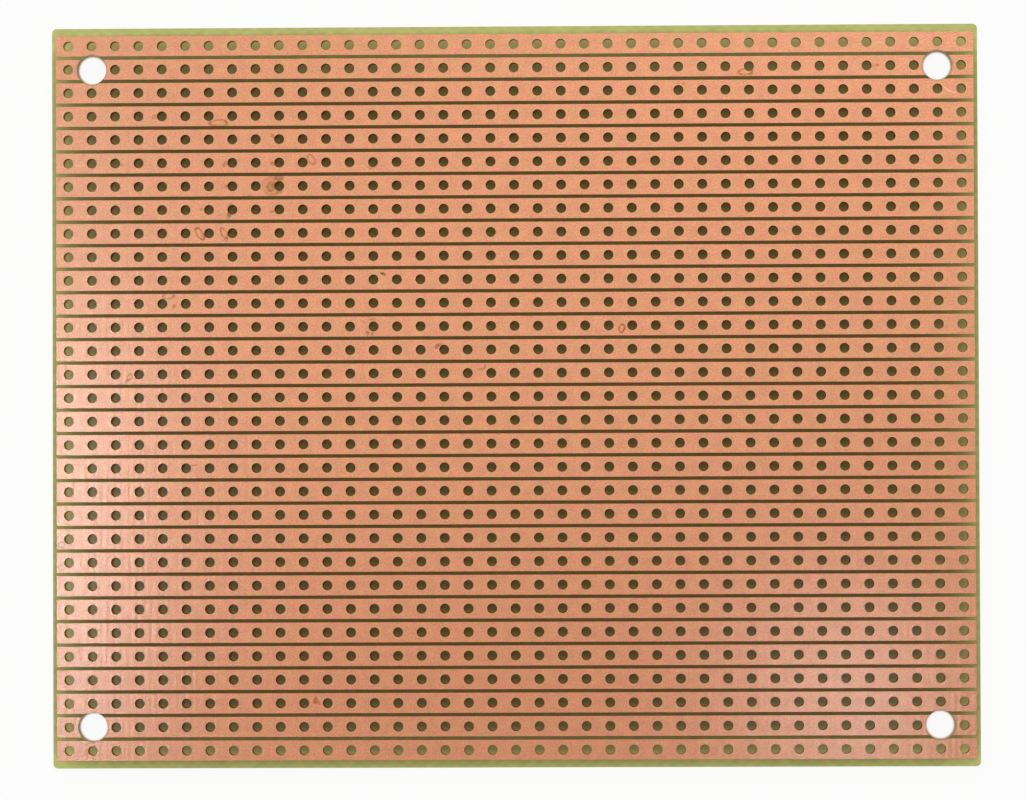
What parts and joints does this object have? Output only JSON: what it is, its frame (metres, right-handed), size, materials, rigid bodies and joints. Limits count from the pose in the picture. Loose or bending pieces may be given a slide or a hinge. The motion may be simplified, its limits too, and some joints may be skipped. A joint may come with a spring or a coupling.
{
  "type": "copper strip prototype board",
  "caption": "Flat drilled glass-epoxy circuit board for prototypes, with parallel bare copper strips on one face, a full grid of lead holes and a mounting hole near each corner.",
  "frame": {"origin": "middle of the bare face (the side that components go on), where it lies on a surface", "axes": "+X along the copper strips, +Y across them towards the first strip, +Z out of the copper face"},
  "size_m": [0.1, 0.08, 0.0016],
  "materials": {
    "glass_epoxy": "semi-gloss, yellow-green, slightly translucent glass-epoxy with a faint weave",
    "copper_foil": "bare copper foil, satin, slightly tarnished"
  },
  "bodies": {
    "root": {"laminate": "glass_epoxy", "strip_01": "copper_foil", "strip_02": "copper_foil", "strip_03": "copper_foil", "strip_04": "copper_foil", "strip_05": "copper_foil", "strip_06": "copper_foil", "strip_07": "copper_foil", "strip_08": "copper_foil", "strip_09": "copper_foil", "strip_10": "copper_foil", "strip_11": "copper_foil", "strip_12": "copper_foil", "strip_13": "copper_foil", "strip_14": "copper_foil", "strip_15": "copper_foil", "strip_16": "copper_foil", "strip_17": "copper_foil", "strip_18": "copper_foil", "strip_19": "copper_foil", "strip_20": "copper_foil", "strip_21": "copper_foil", "strip_22": "copper_foil", "strip_23": "copper_foil", "strip_24": "copper_foil", "strip_25": "copper_foil", "strip_26": "copper_foil", "strip_27": "copper_foil", "strip_28": "copper_foil", "strip_29": "copper_foil", "strip_30": "copper_foil", "strip_31": "copper_foil", "pad_rear_left": "copper_foil", "pad_rear_right": "copper_foil", "pad_front_left": "copper_foil", "pad_front_right": "copper_foil"}
  },
  "joints": []
}
